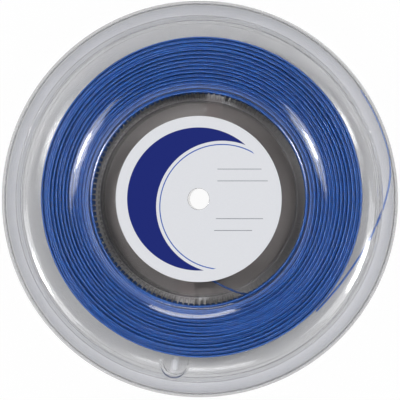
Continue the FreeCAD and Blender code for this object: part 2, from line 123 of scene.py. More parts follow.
# %% [markdown]
# ## Camera
#
# The photograph was taken from about 1.4 m away, nearly along the axis but some five centimetres to
# the right of it: the near hub face sits a little to the left of the rims. A long lens keeps the rims'
# circles round. The camera is placed in the same way, and turned so that the middle of the reel lands
# where it does in the photograph.

# %% Place the camera
IMAGE_SIDE = 400
REEL_MIDDLE_PIXEL = (199.5, 199.0)
MM_PER_PIXEL = 0.6427
CAMERA_DISTANCE = 1400.0
CAMERA_OFFSET = 55.0
SENSOR_WIDTH = 36.0

aim = Vector((
    (IMAGE_SIDE / 2 - REEL_MIDDLE_PIXEL[0]) * MM_PER_PIXEL,
    (REEL_MIDDLE_PIXEL[1] - IMAGE_SIDE / 2) * MM_PER_PIXEL,
    HALF_WIDTH,
)) * MM
eye = Vector((CAMERA_OFFSET, 0, HALF_WIDTH + CAMERA_DISTANCE)) * MM

lens = bpy.data.cameras.new("photo_camera")
lens.sensor_width = SENSOR_WIDTH
lens.lens = lens.sensor_width * (eye - aim).length / (IMAGE_SIDE * MM_PER_PIXEL * MM)
camera = bpy.data.objects.new("photo_camera", lens)
backwards = (eye - aim).normalized()
rightwards = Vector((0, 1, 0)).cross(backwards).normalized()
upwards = backwards.cross(rightwards)
camera.location = eye
camera.rotation_euler = Matrix((rightwards, upwards, backwards)).transposed().to_euler()
bpy.context.scene.collection.objects.link(camera)
bpy.context.scene.camera = camera
bpy.context.scene.view_settings.view_transform = "Standard"
print(f"Lens of {lens.lens:.0f} mm, {(eye - aim).length:.3f} m from the reel")

# %% [markdown]
# ## Helpers for materials
#
# Colours are picked as sRGB hex values, as a colour chart gives them, while a shader works in linear
# light, so one function converts them. A second one adds a node, sets it up and connects it, which is
# all that a node tree needs. Two short ones start a material and give it its shader.

# %% Helpers for colours and nodes
def linear(hex_colour):
    """The linear colour, with full alpha, of an sRGB value such as "3f5fa0"."""
    channels = [int(hex_colour[place:place + 2], 16) / 255 for place in (0, 2, 4)]
    bent = [c / 12.92 if c <= 0.04045 else ((c + 0.055) / 1.055) ** 2.4 for c in channels]
    return (*bent, 1.0)


def add_node(tree, kind, inputs=None, **settings):
    """Adds a node, sets its properties, and gives its inputs values or links from other outputs."""
    node = tree.nodes.new(kind)
    for name, value in settings.items():
        setattr(node, name, value)
    for name, value in (inputs or {}).items():
        if isinstance(value, bpy.types.NodeSocket):
            tree.links.new(value, node.inputs[name])
        else:
            node.inputs[name].default_value = value
    return node


def new_material(name):
    """An empty material with its node tree."""
    material = bpy.data.materials.new(name)
    material.use_nodes = True
    material.node_tree.nodes.clear()
    return material


def show(material, shader):
    """Connects a shader to the material's output."""
    add_node(material.node_tree, "ShaderNodeOutputMaterial", {"Surface": shader})
    return material


print("A mid grey, 808080, is", round(linear("808080")[0], 3), "in linear light")

# %% [markdown]
# ## Clear polystyrene
#
# The reel is injection-moulded crystal polystyrene: glass-clear, glossy from a polished mould, with a
# faint grey cast and an IOR of 1.59. Light has to reach the string through it, and a glass shader
# alone would throw that light into slow, noisy caustics. So rays on their way to a lamp pass straight
# through a tinted Transparent shader, and all others see real glass. A very weak, slow bump stands
# for the flow of the melt and breaks up the reflections a little. Steep faces, such as the sides of
# fins, bead and rim, get a painted shade, a greyer tint that draws the thin dark lines that show
# the reel's shape.

# %% Clear polystyrene, moulded in a polished tool
FLAT_TINT = "f1f1f1"
# Painted shade: steep faces are tinted this grey to draw dark edge lines.
STEEP_FACE_SHADE = "a0a0a2"
FLOW_LENGTH = 14.0
FLOW_DEPTH = 2.0
STEEP_BELOW = 0.15
FLAT_ABOVE = 0.75


def clear_polystyrene():
    """Glass to the eye, and a nearly clear tint to light on its way to a lamp."""
    material = new_material("clear_polystyrene")
    tree = material.node_tree
    place = add_node(tree, "ShaderNodeTexCoord")
    flow = add_node(tree, "ShaderNodeTexNoise", {
        "Vector": place.outputs["Object"],
        "Scale": 1 / (FLOW_LENGTH * MM),
        "Detail": 1.0,
    })
    swell = add_node(tree, "ShaderNodeBump", {
        "Height": flow.outputs["Fac"],
        "Strength": 0.03,
        "Distance": FLOW_DEPTH * MM,
    })
    facing = add_node(tree, "ShaderNodeSeparateXYZ", {"Vector": place.outputs["Normal"]})
    level = add_node(tree, "ShaderNodeMath", {0: facing.outputs["Z"]}, operation="ABSOLUTE")
    # Painted shade: the steeper a face, the more of the grey tint it gets.
    polish_and_edge_shade = add_node(tree, "ShaderNodeMapRange", {
        "Value": level.outputs["Value"],
        "From Min": STEEP_BELOW,
        "From Max": FLAT_ABOVE,
    })
    tint = add_node(tree, "ShaderNodeMix", {
        0: polish_and_edge_shade.outputs["Result"], 6: linear(STEEP_FACE_SHADE), 7: linear(FLAT_TINT),
    }, data_type="RGBA")
    glass = add_node(tree, "ShaderNodeBsdfPrincipled", {
        "Base Color": tint.outputs[2],
        "Roughness": 0.08,
        "IOR": 1.59,
        "Transmission Weight": 1.0,
        "Normal": swell.outputs["Normal"],
    })
    passing = add_node(tree, "ShaderNodeBsdfTransparent", {"Color": linear("f9f9f9")})
    path = add_node(tree, "ShaderNodeLightPath")
    either = add_node(tree, "ShaderNodeMixShader", {
        "Fac": path.outputs["Is Shadow Ray"],
        1: glass.outputs["BSDF"],
        2: passing.outputs["BSDF"],
    })
    return show(material, either.outputs["Shader"])


clear_plastic = clear_polystyrene()
print(f"Clear plastic is {FLAT_TINT} where it lies flat and {STEEP_FACE_SHADE} on steep faces")

# %% [markdown]
# ## The section of a moulded half
#
# Half of the reel is a turned shape: a flat hub face that falls in a smooth S to a channel, rises to a
# land with a raised bead, slopes down to a rounded rim and ends in a small lip that points at its twin
# on the other half. Only the hub wall isn't round, because fins stand on it. The section below is
# therefore left open there: it starts on the inside of the face, just outside the fins, goes round
# the rim and over the front to the bore, and ends at the inner edge of the hub wall.
#
# Arcs are worked out from their centre and radius. Corners stay sharp in the list and are rounded
# afterwards by one vertex bevel, as a moulder would note "all edges 0.2 mm".

# %% Arcs and bends of the section
def arc(centre, radius, start, end, steps):
    """Points on an arc, from one angle to the other, in degrees, both ends included."""
    angles = np.radians(np.linspace(start, end, steps + 1))
    return [(centre[0] + radius * math.cos(a), centre[1] + radius * math.sin(a)) for a in angles]


def s_bend(inner, outer, start_height, end_height, rounds, depth=0.0, steps=8):
    """Two arcs that lead a surface smoothly from one height to another, seen at the given depth below
    it, from the inner radius outwards."""
    near, far = rounds
    sweep = math.degrees(math.acos(1 - abs(start_height - end_height) / (near + far)))
    if start_height > end_height:
        first = arc((inner, start_height - near), near - depth, 90, 90 - sweep, steps)
        second = arc((outer, end_height + far), far + depth, 270 - sweep, 270, steps)
    else:
        first = arc((inner, start_height + near), near + depth, 270, 270 + sweep, steps)
        second = arc((outer, end_height - far), far - depth, 90 + sweep, 90, steps)
    return first + second[1:]


FALL = (SHOULDER_RADIUS, CHANNEL_INNER, HALF_WIDTH, CHANNEL_HEIGHT, FALL_ROUNDS)
RISE = (CHANNEL_OUTER, LAND_INNER, CHANNEL_HEIGHT, LAND_HEIGHT, RISE_ROUNDS)


def half_section():
    """The open section of one half, and the corners that get a rounding."""
    slope_lean = math.degrees(SLOPE_ANGLE)
    lip_round = WALL / 2
    lip_centre = (RIM_RADIUS - lip_round, LIP_HEIGHT + lip_round)
    inside_start = SLOPE_START - WALL * math.tan(SLOPE_ANGLE / 2)
    inside = [
        *s_bend(*FALL, depth=WALL),
        *s_bend(*RISE, depth=WALL),
        (inside_start, LAND_HEIGHT - WALL),
        *arc(RIM_CENTRE, RIM_ROUND - WALL, 90 - slope_lean, 0, 7),
        *arc(lip_centre, lip_round, 180, 360, 8),
        *arc(RIM_CENTRE, RIM_ROUND, 0, 90 - slope_lean, 10),
    ]
    bead = [
        (SLOPE_START, LAND_HEIGHT),
        (BEAD_OUTER, LAND_HEIGHT),
        (BEAD_OUTER, BEAD_TOP),
        (BEAD_INNER, BEAD_TOP),
        (BEAD_INNER, LAND_HEIGHT),
    ]
    front = [
        *reversed(s_bend(*RISE)),
        *reversed(s_bend(*FALL)),
    ]
    hub = [
        (BORE_RADIUS, HALF_WIDTH),
        (BORE_RADIUS, PARTING_GAP),
        (SLEEVE_RADIUS, PARTING_GAP),
        (SLEEVE_RADIUS, HALF_WIDTH - WALL),
        (HUB_INSIDE, HALF_WIDTH - WALL),
    ]
    section = inside + bead + front + hub + [(HUB_INSIDE, PARTING_GAP)]
    return section, bead + hub


section, corners = half_section()
print(f"The section has {len(section)} points, {len(corners)} of them corners to round")

# %% [markdown]
# ## Turning the section, and the ring of fins
#
# The section is spun once round the axis in four steps per fin, so that every ring of the mesh has as
# many points as the toothed ring that it meets. A tooth is drawn once, as two flanks, a tip and the
# land beside it, and spun in copies. Its outline is extruded up to the face, and two bridges close the
# gaps: one over the end of the hub wall, one under the face. The result is one closed shell without
# any boolean.

# %% The section and one tooth, ready to be spun
CORNER_ROUND = 0.2
FIN_HALF_ROOT = 0.66
FIN_HALF_TIP = 0.45


def add_section(bm):
    """Puts the section into the mesh as a chain of edges and rounds its corners."""
    points = [bm.verts.new((radius, 0, height)) for radius, height in section]
    for one, other in zip(points, points[1:]):
        bm.edges.new((one, other))
    sharp = [point for point, place in zip(points, section) if place in corners]
    bmesh.ops.bevel(
        bm, geom=sharp, offset=CORNER_ROUND, offset_type="OFFSET", affect="VERTICES",
        segments=3, profile=0.5, material=-1,
    )


def add_tooth_outline(bm):
    """A flank, the tip, the other flank and the land: one pitch of the hub wall's outline."""
    pitch = 2 * math.pi / FIN_COUNT
    foot_radius = math.hypot(HUB_RADIUS, FIN_HALF_ROOT)
    foot = math.atan2(FIN_HALF_ROOT, HUB_RADIUS)
    tip = math.atan2(FIN_HALF_TIP, FIN_TIP_RADIUS)
    places = [
        (foot_radius, -foot),
        (FIN_TIP_RADIUS, -tip),
        (FIN_TIP_RADIUS, tip),
        (foot_radius, foot),
        (foot_radius, pitch - foot),
    ]
    points = [
        bm.verts.new((radius * math.cos(turn), radius * math.sin(turn), PARTING_GAP))
        for radius, turn in places
    ]
    edges = [bm.edges.new(pair) for pair in zip(points, points[1:])]
    return points + edges


print(f"A fin is {2 * FIN_HALF_ROOT:.2f} mm thick at its root and {2 * FIN_HALF_TIP:.2f} mm at its tip")

# %% A closed moulded half, from section and fins
SEGMENTS = 4 * FIN_COUNT
ONE_TURN = {"cent": (0, 0, 0), "axis": (0, 0, 1), "dvec": (0, 0, 0), "angle": 2 * math.pi}
SAME_PLACE = 0.002


def open_edges(bm, height, inside, outside):
    """The open edges at that height whose points lie between the two radii."""
    return [
        edge for edge in bm.edges
        if edge.is_boundary and all(
            abs(v.co.z - height) < SAME_PLACE and inside < math.hypot(v.co.x, v.co.y) < outside
            for v in edge.verts
        )
    ]


def mesh_of(bm, name):
    """Turns a bmesh into a mesh of that name."""
    mesh = bpy.data.meshes.new(name)
    bm.to_mesh(mesh)
    bm.free()
    return mesh


def moulded_half():
    """One half of the reel, standing on the parting plane, in millimetres."""
    bm = bmesh.new()
    add_section(bm)
    section_line = bm.verts[:] + bm.edges[:]
    bmesh.ops.spin(
        bm, geom=section_line, steps=SEGMENTS, use_merge=True, use_duplicate=False, **ONE_TURN
    )
    tooth = add_tooth_outline(bm)
    bmesh.ops.spin(bm, geom=tooth, steps=FIN_COUNT, use_merge=False, use_duplicate=True, **ONE_TURN)
    bmesh.ops.remove_doubles(bm, verts=bm.verts[:], dist=SAME_PLACE)

    wires = [edge for edge in bm.edges if edge.is_wire]
    teeth = bmesh.ops.extrude_edge_only(bm, edges=wires)["geom"]
    lifted = [item for item in teeth if isinstance(item, bmesh.types.BMVert)]
    face_inside = HALF_WIDTH - WALL
    bmesh.ops.translate(bm, vec=(0, 0, face_inside - PARTING_GAP), verts=lifted)

    for height in (PARTING_GAP, face_inside):
        loops = open_edges(bm, height, HUB_INSIDE - SAME_PLACE, SHOULDER_RADIUS + SAME_PLACE)
        bmesh.ops.bridge_loops(bm, edges=loops)
    bmesh.ops.recalc_face_normals(bm, faces=bm.faces[:])
    return mesh_of(bm, "plain_half")


def report(mesh):
    """Prints how large a mesh is and whether it is closed."""
    bm = bmesh.new()
    bm.from_mesh(mesh)
    loose = [edge for edge in bm.edges if not edge.is_manifold]
    triangles = sum(len(face.verts) - 2 for face in bm.faces)
    volume = bm.calc_volume() / 1000
    bm.free()
    print(f"{mesh.name}: {triangles} triangles, {len(loose)} open or odd edges, {volume:.2f} cm3")


half = moulded_half()
report(half)

# %% [markdown]
# ## Finishing a piece
#
# A finished piece has its place in its mesh, in metres, and its object stays at the origin. Faces that
# meet at a small angle are shaded smooth, and the others keep a sharp edge. Each piece rides the
# reel's only body, takes its material in a slot, and hides the CAD node that it stands for.

# %% Finish a piece
SMOOTH_ANGLE = math.radians(28)


def finish_piece(mesh, material, node, has_corners=True, wide_faces_lead=False):
    """Makes an object of a mesh in millimetres above the parting plane, on the reel's body in place of a
    CAD node. Where wide faces lead, they keep their own direction, and only small ones beside them are
    shaded round."""
    mesh.transform(Matrix.Scale(MM, 4) @ Matrix.Translation((0, 0, HALF_WIDTH)))
    mesh.materials.clear()
    mesh.materials.append(material)
    mesh.shade_smooth()
    if has_corners:
        mesh.set_sharp_from_angle(angle=SMOOTH_ANGLE)
    piece = bpy.data.objects.new(mesh.name, mesh)
    bpy.context.scene.collection.objects.link(piece)
    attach(piece, "root")
    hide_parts(node)
    if wide_faces_lead:
        shading = piece.modifiers.new("wide_faces_lead", "WEIGHTED_NORMAL")
        shading.mode = "FACE_AREA"
        shading.keep_sharp = True
    print(f"{piece.name} takes the place of {node}")


# %% [markdown]
# ## Notch, window and locating ring
#
# On each flange a U-shaped notch takes the string's outer end: its walls reach down from the land to
# the channel's floor, and a slit goes through that floor. The front hub wall has a small window for
# the inner end, and the rear half carries a ring that centres the front one. These shapes aren't
# turned, so they are joined and cut with exact booleans, and the window with the faster kind, which
# keeps this one cut closed. A wall ends inside the one it joins, or a little beside it, because two
# surfaces in the same plane would leave slivers.

# %% Join or cut two closed meshes
def combined(mesh, other, operation, solver="EXACT"):
    """The union, difference or intersection of two closed meshes, as a new mesh."""
    holders = [bpy.data.objects.new("worked_on", mesh), bpy.data.objects.new("worked_with", other)]
    for holder in holders:
        bpy.context.scene.collection.objects.link(holder)
    step = holders[0].modifiers.new("step", "BOOLEAN")
    step.operation = operation
    step.solver = solver
    step.object = holders[1]
    bpy.context.view_layer.update()
    worked = holders[0].evaluated_get(bpy.context.evaluated_depsgraph_get())
    result = bpy.data.meshes.new_from_object(worked)
    for holder in holders:
        bpy.data.objects.remove(holder)
    return result


# %% Blocks and rings to join or cut with
ROUND_STEPS = 16
SECTOR_STEPS = 12


def closed_loop(bm, places):
    """Adds points and joins them to a closed chain of edges."""
    points = [bm.verts.new(place) for place in places]
    for point, following in zip(points, points[1:] + points[:1]):
        bm.edges.new((point, following))


def block(foot, head, low, high):
    """A closed upright block: the outlines of its foot and head, bridged and filled."""
    bm = bmesh.new()
    closed_loop(bm, [(x, y, low) for x, y in foot])
    closed_loop(bm, [(x, y, high) for x, y in head])
    ends = bm.edges[:]
    bmesh.ops.bridge_loops(bm, edges=ends)
    bmesh.ops.holes_fill(bm, edges=ends)
    bmesh.ops.recalc_face_normals(bm, faces=bm.faces[:])
    return mesh_of(bm, "block")


def round_ended_block(near, far, half_width, low, high, draft=0.0):
    """A block with round ends that lies along the radius and gets wider upwards by its draft."""
    foot, head = (
        arc((far, 0), radius, -90, 90, ROUND_STEPS) + arc((near, 0), radius, 90, 270, ROUND_STEPS)
        for radius in (half_width, half_width + draft * (high - low))
    )
    return block(foot, head, low, high)


def sector(inside, outside, middle, width, low, high):
    """A block between two radii that spans some degrees round the axis."""
    start, end = middle - width / 2, middle + width / 2
    outer = arc((0, 0), outside, start, end, SECTOR_STEPS)
    inner = arc((0, 0), inside, end, start, SECTOR_STEPS)
    return block(outer + inner, outer + inner, low, high)


def turned_ring(name, outline, steps=SEGMENTS):
    """A closed ring with that section."""
    bm = bmesh.new()
    closed_loop(bm, [(radius, 0, height) for radius, height in outline])
    section_line = bm.verts[:] + bm.edges[:]
    bmesh.ops.spin(
        bm, geom=section_line, steps=steps, use_merge=True, use_duplicate=False, **ONE_TURN
    )
    bmesh.ops.recalc_face_normals(bm, faces=bm.faces[:])
    return mesh_of(bm, name)


print(f"Round ends have {ROUND_STEPS} steps, a ring has {SEGMENTS}")

# %% [markdown]
# The notch's walls are a round-ended block whose top stays in the middle of the flange's wall: a turned
# ring with that top is trimmed to the block. The recess between them gets wider upwards, so that the
# moulding comes off its core.

# %% Cut the notch
NOTCH_HALF_WIDTH = 8.5
NOTCH_WALL = 1.3
NOTCH_END = BEAD_INNER + 1.0
NOTCH_RUN = (CHANNEL_OUTER, NOTCH_END - NOTCH_HALF_WIDTH)
RECESS_HALF_WIDTH = 8.2
RECESS_DRAFT = 0.35
SLIT_RUN = (105.05, 110.45)
SLIT_HALF_WIDTH = 1.8
RUN_IN = 14.0
STOP_SHORT = 0.2
APART = 0.03
OVERSHOOT = 2.0

underside = CHANNEL_HEIGHT - WALL + APART
below, above = underside - OVERSHOOT, HALF_WIDTH + OVERSHOOT
inner_edge = CHANNEL_OUTER - RUN_IN
outer_edge = SLOPE_START - STOP_SHORT
ring_below = turned_ring("ring_below", [
    (inner_edge, CHANNEL_HEIGHT - WALL / 2),
    *s_bend(*RISE, depth=WALL / 2),
    (outer_edge, LAND_HEIGHT - WALL / 2),
    (outer_edge, underside),
    (inner_edge, underside),
])
notch_walls = round_ended_block(*NOTCH_RUN, NOTCH_HALF_WIDTH + NOTCH_WALL, below, LAND_HEIGHT)
recess = round_ended_block(*NOTCH_RUN, RECESS_HALF_WIDTH, CHANNEL_HEIGHT + APART, above, RECESS_DRAFT)
slit = round_ended_block(*SLIT_RUN, SLIT_HALF_WIDTH, below, above)
notched = combined(half, combined(ring_below, notch_walls, "INTERSECT"), "UNION")
notched = combined(notched, recess, "DIFFERENCE")
notched = combined(notched, slit, "DIFFERENCE")
notched.name = "notched_half"
report(notched)

# %% [markdown]
# ## The two halves
#
# Both halves come from nearly the same mould. The front one gets the window and the rear one the ring,
# which has an opening where the string comes in. Then the rear one is turned over about an axis that
# keeps the notches in line.

# %% Front and rear moulding
WINDOW_FROM_NOTCH = math.degrees(WINDOW_TURN - NOTCH_TURN)
WINDOW_WIDTH = 9.4
WINDOW_TOP = 3.2
RING_WALL = 1.2
RING_GAP = 0.1
RING_REACH = 4.0
RING_ROOT = 0.75
RING_STEP = 0.3
RING_OPENING = 14

window = sector(
    HUB_INSIDE - OVERSHOOT, FIN_TIP_RADIUS + OVERSHOOT,
    WINDOW_FROM_NOTCH, WINDOW_WIDTH, -OVERSHOOT, WINDOW_TOP,
)
front_mesh = combined(notched.copy(), window, "DIFFERENCE", solver="FAST")
front_mesh.transform(Matrix.Rotation(NOTCH_TURN, 4, "Z"))

ring_outside = HUB_INSIDE - RING_GAP
ring_inside = ring_outside - RING_WALL
root = HUB_INSIDE + RING_ROOT
locating_ring = turned_ring("locating_ring", [
    (ring_inside, -RING_REACH), (ring_outside, -RING_REACH), (ring_outside, RING_STEP),
    (root, RING_STEP), (root, RING_REACH), (ring_inside, RING_REACH),
])
opening = sector(
    HUB_INSIDE - OVERSHOOT, HUB_INSIDE + OVERSHOOT,
    -WINDOW_FROM_NOTCH, RING_OPENING, -RING_REACH - OVERSHOOT, RING_REACH + OVERSHOOT,
)
rear_mesh = combined(notched, combined(locating_ring, opening, "DIFFERENCE"), "UNION")
rear_mesh.transform(Matrix.Rotation(NOTCH_TURN, 4, "Z") @ Matrix.Rotation(math.pi, 4, "X"))

for name, mesh, node in (
    ("front_moulding", front_mesh, "front_half"),
    ("rear_moulding", rear_mesh, "rear_half"),
):
    mesh.name = name
    report(mesh)
    finish_piece(mesh, clear_plastic, node, wide_faces_lead=True)

# %% [markdown]
# ## Winding the string
#
# The turns of string are what gives this reel its look: long shallow crossings, dark gaps, and turns
# that climb over each other at the flanges. A texture couldn't show that from all sides, so the string
# is wound as the machine does it. The guide walks from flange to flange at a pitch that changes a
# little at every pass, hurries near a flange, turns round a little short of it and rests there for
# about a turn.

# %% The guide that leads the string
TURN_STEPS = 96
GUIDE_START = 1.6
GUIDE_PITCH = (1.25, 1.4)
TURNS_SHORT = (0.0, 0.5)
REST_AT_FLANGE = (0.4, 1.2)
HURRY = (5.0, 11.0)
HURRY_ZONE = 2.5
STRING_CLEARANCE = 0.3
LIMIT_DEPTH = WALL + STRING_CLEARANCE + STRING_DIAMETER / 2
LIMIT = s_bend(*FALL, depth=LIMIT_DEPTH) + s_bend(*RISE, depth=LIMIT_DEPTH)


def flange_room(radius):
    """How far from the parting plane a strand's centre may lie at that radius."""
    radii, heights = zip(*LIMIT)
    return np.interp(radius, radii, heights)


def guide_heights(chance):
    """Yields the guide's height step by step, and is told each time how much room there is."""
    height, way = GUIDE_START, 1.0
    pitch = chance.uniform(*GUIDE_PITCH)
    short = chance.uniform(*TURNS_SHORT)
    hurry = chance.uniform(*HURRY)
    room = yield height
    while True:
        pace = hurry if abs(height) > room - HURRY_ZONE else 1
        height += way * pace * pitch / TURN_STEPS
        room = yield height
        if height * way > room - short:
            for _ in range(int(chance.uniform(*REST_AT_FLANGE) * TURN_STEPS)):
                room = yield way * (room - short)
            height = way * (room - short)
            way = -way
            pitch = chance.uniform(*GUIDE_PITCH)
            short = chance.uniform(*TURNS_SHORT)
            hurry = chance.uniform(*HURRY)


for radius in (FIN_TIP_RADIUS, CHANNEL_INNER):
    print(f"At radius {radius:.1f} a strand has {flange_room(radius):.1f} mm to either side")

# %% [markdown]
# A height field keeps, for each place on the hub, how far out the next strand would lie. Each new turn
# slips sideways into a dip if there is one near, and is then pulled tight: where the seat falls away
# the string bridges it in a straight line.

# %% How a turn finds its seat
GRID = 0.2
SLIP = 0.4
SLIP_TRIES = 5
HARDLY_LOWER = 1e-6
CALM_ZONE = 2.0
DEPTH_SPAN = 7
PULLS = 120
STIFF_SPAN = 7


def smoothed(values, before, width):
    """A running mean along one turn that carries on from the turn before it."""
    side = width // 2
    padded = np.concatenate([before[-side:], values, np.full(side, values[-1])])
    return np.convolve(padded, np.ones(width) / width, mode="valid")


def cells_at(laid):
    """The height field's cells under a strand that is laid at those heights."""
    return np.rint(laid / GRID).astype(int) + round(HALF_WIDTH / GRID)


def find_dips(seats, guided, room):
    """Lets the strand slip sideways by a little to where it would lie lowest."""
    steps = np.arange(TURN_STEPS)
    lowest = np.full(TURN_STEPS, np.inf)
    laid = guided
    freedom = np.clip((room - np.abs(guided)) / CALM_ZONE, 0, 1)
    for slip in np.linspace(-SLIP, SLIP, SLIP_TRIES):
        tried = np.clip(guided + slip * freedom, -room, room)
        seat = seats[steps, cells_at(tried)]
        depth = smoothed(seat, seat, DEPTH_SPAN)
        better = depth < lowest - HARDLY_LOWER
        lowest = np.where(better, depth, lowest)
        laid = np.where(better, tried, laid)
    return laid


def pull_tight(seat, previous):
    """The radius of a taut strand over its seat: it bridges dips and lies smoothly."""
    radius = seat.copy()
    for _ in range(PULLS):
        behind = np.concatenate([[previous[-1]], radius[:-1]])
        ahead = np.concatenate([radius[1:], [radius[-1]]])
        radius = np.maximum(seat, (behind + ahead) / 2 * math.cos(2 * math.pi / TURN_STEPS))
    return smoothed(radius, previous, STIFF_SPAN)


print(f"A turn is laid in {TURN_STEPS} steps and may slip {SLIP} mm to either side")

# %% [markdown]
# Turns are laid until two hundred metres are on the reel. Beside a flange a turn doesn't sink below the
# one before it, which leaves the narrow dark slits between the outermost turns.

# %% Wind two hundred metres of string
STRING_LENGTH = 200000.0
WIND_SEED = 42
LAY_SPAN = 15
FLANGE_ZONE = 3.0
LAST_TURNS = 24


def wind_string():
    """Rows of (radius, height) at even steps round the hub, one row for each turn."""
    chance = np.random.default_rng(WIND_SEED)
    heights = np.arange(-round(HALF_WIDTH / GRID), round(HALF_WIDTH / GRID) + 1) * GRID
    first_radius = FIN_TIP_RADIUS + PARTING_GAP + STRING_DIAMETER / 2
    seats = np.full((TURN_STEPS, len(heights)), first_radius)
    radius = np.full(TURN_STEPS, first_radius)
    guide = guide_heights(chance)
    laid = np.full(TURN_STEPS, next(guide))
    turns = []
    wound = 0.0
    while wound < STRING_LENGTH:
        room = flange_room(radius)
        guided = np.array([guide.send(limit) for limit in room])
        laid = smoothed(find_dips(seats, guided, room), laid, LAY_SPAN)
        seat = seats[np.arange(TURN_STEPS), cells_at(laid)]
        at_flange = np.abs(laid) > room - FLANGE_ZONE
        radius = pull_tight(np.where(at_flange, np.maximum(seat, radius), seat), radius)
        laid = np.clip(laid, -flange_room(radius), flange_room(radius))
        aside = heights[None, :] - laid[:, None]
        rise = np.sqrt(np.maximum(STRING_DIAMETER ** 2 - aside ** 2, 0))
        covered = np.abs(aside) < STRING_DIAMETER
        seats = np.where(covered, np.maximum(seats, radius[:, None] + rise), seats)
        turns.append(np.stack([radius, laid], axis=1))
        wound += float(radius.sum()) * 2 * math.pi / TURN_STEPS
    return turns, wound


turns, wound = wind_string()
last_radius = float(np.mean([turn[:, 0].mean() for turn in turns[-LAST_TURNS:]]))
print(f"{len(turns)} turns hold {wound / 1000:.1f} m, the last ones near radius {last_radius:.1f} mm")

# %% [markdown]
# ## Blue polyester string
#
# Racket string of this kind is extruded co-polyester: a solid monofilament with a smooth, slightly
# waxy surface, coloured in the mass. The wax is a thin coat that shines in a line along each strand,
# and the gaps between turns are a deep blue, where light goes from strand to strand. A fine noise,
# twice as coarse as the string is thick, varies the colour and the polish a little, as the extruder
# and the wax do.

# %% Extruded polyester string
DEEPER_BLUE = "0852ac"
LIGHTER_BLUE = "126aca"
COARSENESS = 2 * STRING_DIAMETER


def blue_polyester():
    """A smooth blue plastic under a thin coat of wax."""
    material = new_material("blue_polyester_string")
    tree = material.node_tree
    place = add_node(tree, "ShaderNodeTexCoord")
    along = add_node(tree, "ShaderNodeTexNoise", {
        "Vector": place.outputs["Object"],
        "Scale": 1 / (COARSENESS * MM),
        "Detail": 2.0,
    })
    colour = add_node(tree, "ShaderNodeValToRGB", {"Fac": along.outputs["Fac"]})
    colour.color_ramp.elements[0].position = 0.3
    colour.color_ramp.elements[0].color = linear(DEEPER_BLUE)
    colour.color_ramp.elements[1].position = 0.7
    colour.color_ramp.elements[1].color = linear(LIGHTER_BLUE)
    polish_and_edge_shade = add_node(tree, "ShaderNodeMapRange", {
        "Value": along.outputs["Fac"],
        "To Min": 0.28,
        "To Max": 0.42,
    })
    skin = add_node(tree, "ShaderNodeBsdfPrincipled", {
        "Base Color": colour.outputs["Color"],
        "Roughness": polish_and_edge_shade.outputs["Result"],
        "IOR": 1.64,
        "Coat Weight": 1.0,
        "Coat Roughness": 0.2,
    })
    return show(material, skin.outputs["BSDF"])


string_material = blue_polyester()
print(f"The string's colour runs from {DEEPER_BLUE} to {LIGHTER_BLUE}")

# %% [markdown]
# ## The wound string as a tube
#
# A curve with a round bevel turns the path into string. Six sides are enough for a strand that is two
# pixels thick, because its shading is smooth. The winding goes into a few curves, inner to outer, so
# that no single mesh gets too heavy, and each is made a mesh. In the photograph the outer turns lie a
# millimetre off the hub's middle, so the path moves that way as it grows.

# %% Tubes for the wound string
WINDING_PARTS = 3
WOUND_FROM = math.radians(-61.6)
OUTER_SHIFT = (1.2, 1.0)
STRAND_SIDES = 6


def strand_mesh(name, route):
    """A round tube along a route of points, as a mesh."""
    curve = bpy.data.curves.new(name, "CURVE")
    curve.dimensions = "3D"
    curve.bevel_depth = STRING_DIAMETER / 2
    curve.bevel_resolution = (STRAND_SIDES - 4) // 2
    curve.use_fill_caps = True
    spline = curve.splines.new("POLY")
    spline.points.add(len(route) - 1)
    spline.points.foreach_set("co", np.column_stack([route, np.ones(len(route))]).ravel())
    holder = bpy.data.objects.new(name, curve)
    bpy.context.scene.collection.objects.link(holder)
    mesh = bpy.data.meshes.new_from_object(holder)
    mesh.name = name
    bpy.data.objects.remove(holder)
    bpy.data.curves.remove(curve)
    return mesh


def winding_route():
    """The whole path of the wound string, in millimetres above the parting plane."""
    laid = np.concatenate(turns)
    radius, height = laid[:, 0], laid[:, 1]
    turn = WOUND_FROM + np.arange(len(laid)) * 2 * math.pi / TURN_STEPS
    outwards = (radius - FIN_TIP_RADIUS) / (last_radius - FIN_TIP_RADIUS)
    across = radius * np.cos(turn) + OUTER_SHIFT[0] * outwards
    up = radius * np.sin(turn) + OUTER_SHIFT[1] * outwards
    return np.column_stack([across, up, height])


route = winding_route()
ends = [round(len(route) * part / WINDING_PARTS) for part in range(WINDING_PARTS + 1)]
for number, (start, end) in enumerate(zip(ends, ends[1:]), start=1):
    mesh = strand_mesh(f"wound_string_{number}", route[start:end + 1])
    print(f"{mesh.name}: {sum(len(face.vertices) - 2 for face in mesh.polygons)} triangles")
    finish_piece(mesh, string_material, "string_winding", has_corners=False)

# %% [markdown]
# ## The two loose ends
#
# The outer end leaves the winding at the lower right and springs out into the rim, where it lies
# along the inside of the lip. The inner end goes through a window in the hub wall and lies in the
# hollow hub. Both are cords: a smooth NURBS line through a few listed points, the same as in the
# CAD model.

# %% Loose ends of the string
TAIL_ROUTE = [
    (0.0749, -0.0719, 0.0196),
    (0.0860, -0.0600, 0.0195),
    (0.0962, -0.0464, 0.0193),
    (0.1054, -0.0326, 0.0192),
    (0.1132, -0.0174, 0.0190),
    (0.1188, -0.0016, 0.0188),
    (0.1223, 0.0142, 0.0187),
    (0.1214, 0.0298, 0.0186),
    (0.1160, 0.0463, 0.0186),
    (0.1102, 0.0586, 0.0187),
    (0.1033, 0.0696, 0.0188),
]
START_ROUTE = [
    (0.0328, -0.0606, 0.0170),
    (0.0284, -0.0609, 0.0170),
    (0.0236, -0.0595, 0.0170),
    (0.0164, -0.0566, 0.0172),
    (0.0102, -0.0532, 0.0177),
    (0.0034, -0.0502, 0.0186),
    (-0.0034, -0.0484, 0.0198),
    (-0.0104, -0.0476, 0.0210),
]


